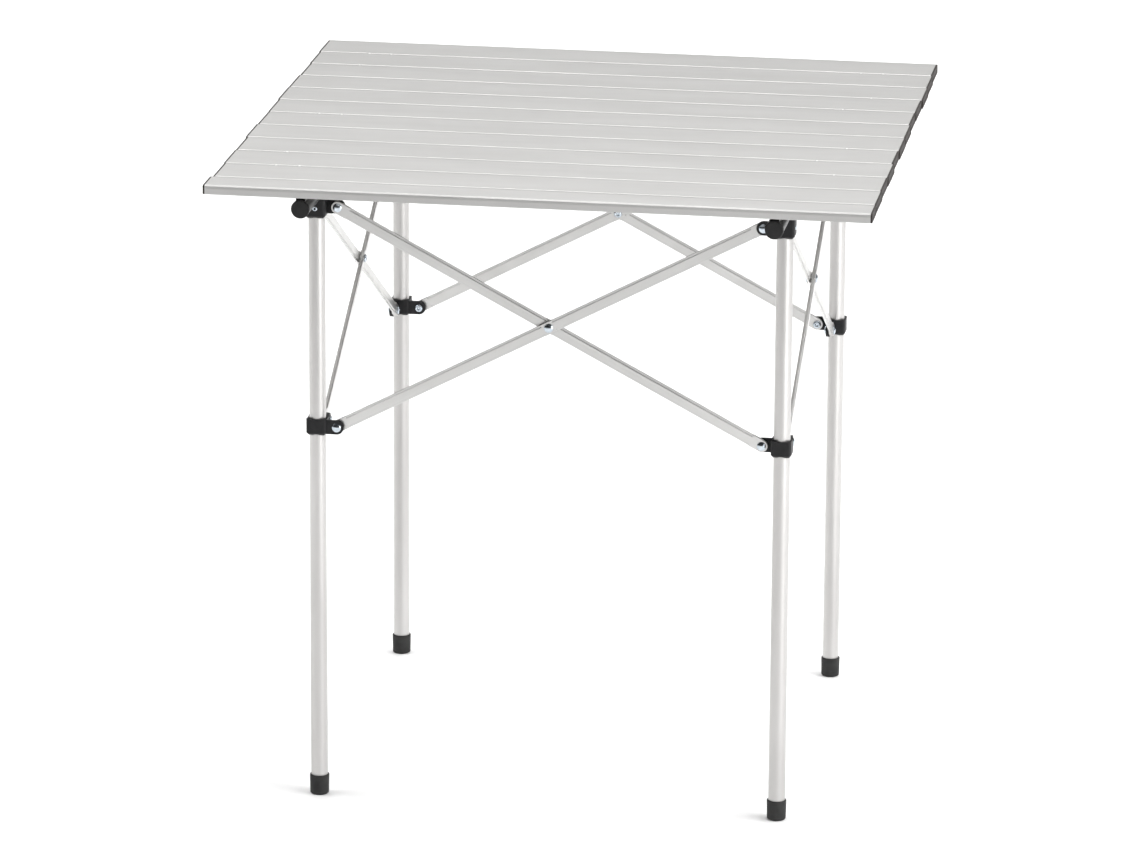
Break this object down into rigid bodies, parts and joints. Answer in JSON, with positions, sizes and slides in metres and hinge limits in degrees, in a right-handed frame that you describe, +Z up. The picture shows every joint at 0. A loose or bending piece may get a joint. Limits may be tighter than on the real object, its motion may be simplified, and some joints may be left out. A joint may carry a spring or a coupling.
{
  "type": "folding table",
  "caption": "Square folding camp table: a slatted roll-up top lifts off a scissor frame whose round legs draw together as the lower hubs slide down.",
  "frame": {"origin": "on the floor below the middle of the top", "axes": "+Z up out of the tabletop, X along the slats, -Y towards the front, the edge with the narrow slat"},
  "size_m": [0.704, 0.6996, 0.7],
  "materials": {
    "slat": "satin anodised extrusion",
    "end_cap": "moulded, matt",
    "leg_tube": "satin anodised tube",
    "brace": "satin extrusion, drawn lines",
    "rivet": "bright zinc plate",
    "foot": "matt",
    "hub": "moulded, matt",
    "support_bar": "black anodised, satin",
    "bar_plug": "moulded, matt"
  },
  "bodies": {
    "leg_front_left": {"leg_tube_front_left": "leg_tube", "upper_hub_front_left": "hub", "foot_front_left": "foot"},
    "leg_front_right": {"leg_tube_front_right": "leg_tube", "upper_hub_front_right": "hub", "foot_front_right": "foot"},
    "leg_back_right": {"leg_tube_back_right": "leg_tube", "upper_hub_back_right": "hub", "foot_back_right": "foot"},
    "leg_back_left": {"leg_tube_back_left": "leg_tube", "upper_hub_back_left": "hub", "foot_back_left": "foot"},
    "lower_hub_front_left_body": {"lower_hub_front_left": "hub"},
    "lower_hub_front_right_body": {"lower_hub_front_right": "hub"},
    "lower_hub_back_right_body": {"lower_hub_back_right": "hub"},
    "lower_hub_back_left_body": {"lower_hub_back_left": "hub"},
    "brace_front_falling_body": {"brace_front_falling": "brace", "rivets_front_falling": "rivet"},
    "brace_front_rising_body": {"brace_front_rising": "brace", "rivets_front_rising": "rivet"},
    "brace_right_falling_body": {"brace_right_falling": "brace", "rivets_right_falling": "rivet"},
    "brace_right_rising_body": {"brace_right_rising": "brace", "rivets_right_rising": "rivet"},
    "brace_back_falling_body": {"brace_back_falling": "brace", "rivets_back_falling": "rivet"},
    "brace_back_rising_body": {"brace_back_rising": "brace", "rivets_back_rising": "rivet"},
    "brace_left_falling_body": {"brace_left_falling": "brace", "rivets_left_falling": "rivet"},
    "brace_left_rising_body": {"brace_left_rising": "brace", "rivets_left_rising": "rivet"},
    "top_base": {"slat_01": "slat", "end_caps_01": "end_cap", "support_bar_left": "support_bar", "support_bar_right": "support_bar", "bar_plugs_left": "bar_plug", "bar_plugs_right": "bar_plug"},
    "slat_02_body": {"slat_02": "slat", "end_caps_02": "end_cap"},
    "slat_03_body": {"slat_03": "slat", "end_caps_03": "end_cap"},
    "slat_04_body": {"slat_04": "slat", "end_caps_04": "end_cap"},
    "slat_05_body": {"slat_05": "slat", "end_caps_05": "end_cap"},
    "slat_06_body": {"slat_06": "slat", "end_caps_06": "end_cap"},
    "slat_07_body": {"slat_07": "slat", "end_caps_07": "end_cap"},
    "slat_08_body": {"slat_08": "slat", "end_caps_08": "end_cap"},
    "slat_09_body": {"slat_09": "slat", "end_caps_09": "end_cap"},
    "slat_10_body": {"slat_10": "slat", "end_caps_10": "end_cap"},
    "slat_11_body": {"slat_11": "slat", "end_caps_11": "end_cap"},
    "slat_12_body": {"slat_12": "slat", "end_caps_12": "end_cap"}
  },
  "joints": [
    {"name": "frame_fold", "type": "hinge", "parent": "leg_front_left", "child": "brace_front_falling_body", "pos_m": [-0.228, -0.25, 0.656], "axis": [0, 1, 0], "range_deg": [0, 57]},
    {"name": "front_crossing", "type": "hinge", "parent": "brace_front_falling_body", "child": "brace_front_rising_body", "pos_m": [0, -0.25, 0.536], "axis": [0, -1, 0], "range_deg": [0, 114.01]},
    {"name": "front_right_leg_pivot", "type": "hinge", "parent": "brace_front_rising_body", "child": "leg_front_right", "pos_m": [0.228, -0.25, 0.656], "axis": [0, 1, 0], "range_deg": [0, 57.01]},
    {"name": "front_left_hub_pivot", "type": "hinge", "parent": "brace_front_rising_body", "child": "lower_hub_front_left_body", "pos_m": [-0.228, -0.25, 0.416], "axis": [0, 1, 0], "range_deg": [0, 57.01]},
    {"name": "left_brace_pivot", "type": "hinge", "parent": "leg_front_left", "child": "brace_left_rising_body", "pos_m": [-0.25, -0.228, 0.656], "axis": [-1, 0, 0], "range_deg": [0, 57.01]},
    {"name": "left_crossing", "type": "hinge", "parent": "brace_left_rising_body", "child": "brace_left_falling_body", "pos_m": [-0.25, 0, 0.536], "axis": [1, 0, 0], "range_deg": [0, 114.01]},
    {"name": "back_left_leg_pivot", "type": "hinge", "parent": "brace_left_falling_body", "child": "leg_back_left", "pos_m": [-0.25, 0.228, 0.656], "axis": [-1, 0, 0], "range_deg": [0, 57.01]},
    {"name": "back_left_hub_pivot", "type": "hinge", "parent": "brace_left_rising_body", "child": "lower_hub_back_left_body", "pos_m": [-0.25, 0.228, 0.416], "axis": [1, 0, 0], "range_deg": [0, 57.01]},
    {"name": "right_brace_pivot", "type": "hinge", "parent": "leg_front_right", "child": "brace_right_falling_body", "pos_m": [0.25, -0.228, 0.656], "axis": [-1, 0, 0], "range_deg": [0, 57.01]},
    {"name": "right_crossing", "type": "hinge", "parent": "brace_right_falling_body", "child": "brace_right_rising_body", "pos_m": [0.25, 0, 0.536], "axis": [1, 0, 0], "range_deg": [0, 114.01]},
    {"name": "back_right_leg_pivot", "type": "hinge", "parent": "brace_right_rising_body", "child": "leg_back_right", "pos_m": [0.25, 0.228, 0.656], "axis": [-1, 0, 0], "range_deg": [0, 57.01]},
    {"name": "front_right_hub_pivot", "type": "hinge", "parent": "brace_right_rising_body", "child": "lower_hub_front_right_body", "pos_m": [0.25, -0.228, 0.416], "axis": [-1, 0, 0], "range_deg": [0, 57.01]},
    {"name": "back_brace_pivot", "type": "hinge", "parent": "leg_back_left", "child": "brace_back_rising_body", "pos_m": [-0.228, 0.25, 0.656], "axis": [0, 1, 0], "range_deg": [0, 57.01]},
    {"name": "back_crossing", "type": "hinge", "parent": "brace_back_rising_body", "child": "brace_back_falling_body", "pos_m": [0, 0.25, 0.536], "axis": [0, -1, 0], "range_deg": [0, 114.01]},
    {"name": "back_right_hub_pivot", "type": "hinge", "parent": "brace_back_rising_body", "child": "lower_hub_back_right_body", "pos_m": [0.228, 0.25, 0.416], "axis": [0, -1, 0], "range_deg": [0, 57.01]},
    {"name": "top_lift", "type": "slide", "parent": "leg_front_left", "child": "top_base", "axis": [0, 0, 1], "range_m": [0, 0.3]},
    {"name": "seam_01", "type": "hinge", "parent": "top_base", "child": "slat_02_body", "pos_m": [0, 0.29, 0.6986], "axis": [-1, 0, 0], "range_deg": [0, 37.34]},
    {"name": "seam_02", "type": "hinge", "parent": "slat_02_body", "child": "slat_03_body", "pos_m": [0, 0.23, 0.6986], "axis": [-1, 0, 0], "range_deg": [0, 40.32]},
    {"name": "seam_03", "type": "hinge", "parent": "slat_03_body", "child": "slat_04_body", "pos_m": [0, 0.17, 0.6986], "axis": [-1, 0, 0], "range_deg": [0, 43.31]},
    {"name": "seam_04", "type": "hinge", "parent": "slat_04_body", "child": "slat_05_body", "pos_m": [0, 0.11, 0.6986], "axis": [-1, 0, 0], "range_deg": [0, 46.3]},
    {"name": "seam_05", "type": "hinge", "parent": "slat_05_body", "child": "slat_06_body", "pos_m": [0, 0.05, 0.6986], "axis": [-1, 0, 0], "range_deg": [0, 49.29]},
    {"name": "seam_06", "type": "hinge", "parent": "slat_06_body", "child": "slat_07_body", "pos_m": [0, -0.01, 0.6986], "axis": [-1, 0, 0], "range_deg": [0, 52.27]},
    {"name": "seam_07", "type": "hinge", "parent": "slat_07_body", "child": "slat_08_body", "pos_m": [0, -0.07, 0.6986], "axis": [-1, 0, 0], "range_deg": [0, 55.26]},
    {"name": "seam_08", "type": "hinge", "parent": "slat_08_body", "child": "slat_09_body", "pos_m": [0, -0.13, 0.6986], "axis": [-1, 0, 0], "range_deg": [0, 58.25]},
    {"name": "seam_09", "type": "hinge", "parent": "slat_09_body", "child": "slat_10_body", "pos_m": [0, -0.19, 0.6986], "axis": [-1, 0, 0], "range_deg": [0, 61.23]},
    {"name": "seam_10", "type": "hinge", "parent": "slat_10_body", "child": "slat_11_body", "pos_m": [0, -0.25, 0.6986], "axis": [-1, 0, 0], "range_deg": [0, 64.22]},
    {"name": "seam_11", "type": "hinge", "parent": "slat_11_body", "child": "slat_12_body", "pos_m": [0, -0.31, 0.6986], "axis": [-1, 0, 0], "range_deg": [0, 67.21]}
  ],
  "couplings": [
    {"joint": "front_crossing", "follows": "frame_fold", "ratio": 2},
    {"joint": "front_right_leg_pivot", "follows": "frame_fold", "ratio": 1},
    {"joint": "front_left_hub_pivot", "follows": "frame_fold", "ratio": 1},
    {"joint": "left_brace_pivot", "follows": "frame_fold", "ratio": 1},
    {"joint": "left_crossing", "follows": "frame_fold", "ratio": 2},
    {"joint": "back_left_leg_pivot", "follows": "frame_fold", "ratio": 1},
    {"joint": "back_left_hub_pivot", "follows": "frame_fold", "ratio": 1},
    {"joint": "right_brace_pivot", "follows": "frame_fold", "ratio": 1},
    {"joint": "right_crossing", "follows": "frame_fold", "ratio": 2},
    {"joint": "back_right_leg_pivot", "follows": "frame_fold", "ratio": 1},
    {"joint": "front_right_hub_pivot", "follows": "frame_fold", "ratio": 1},
    {"joint": "back_brace_pivot", "follows": "frame_fold", "ratio": 1},
    {"joint": "back_crossing", "follows": "frame_fold", "ratio": 2},
    {"joint": "back_right_hub_pivot", "follows": "frame_fold", "ratio": 1}
  ]
}
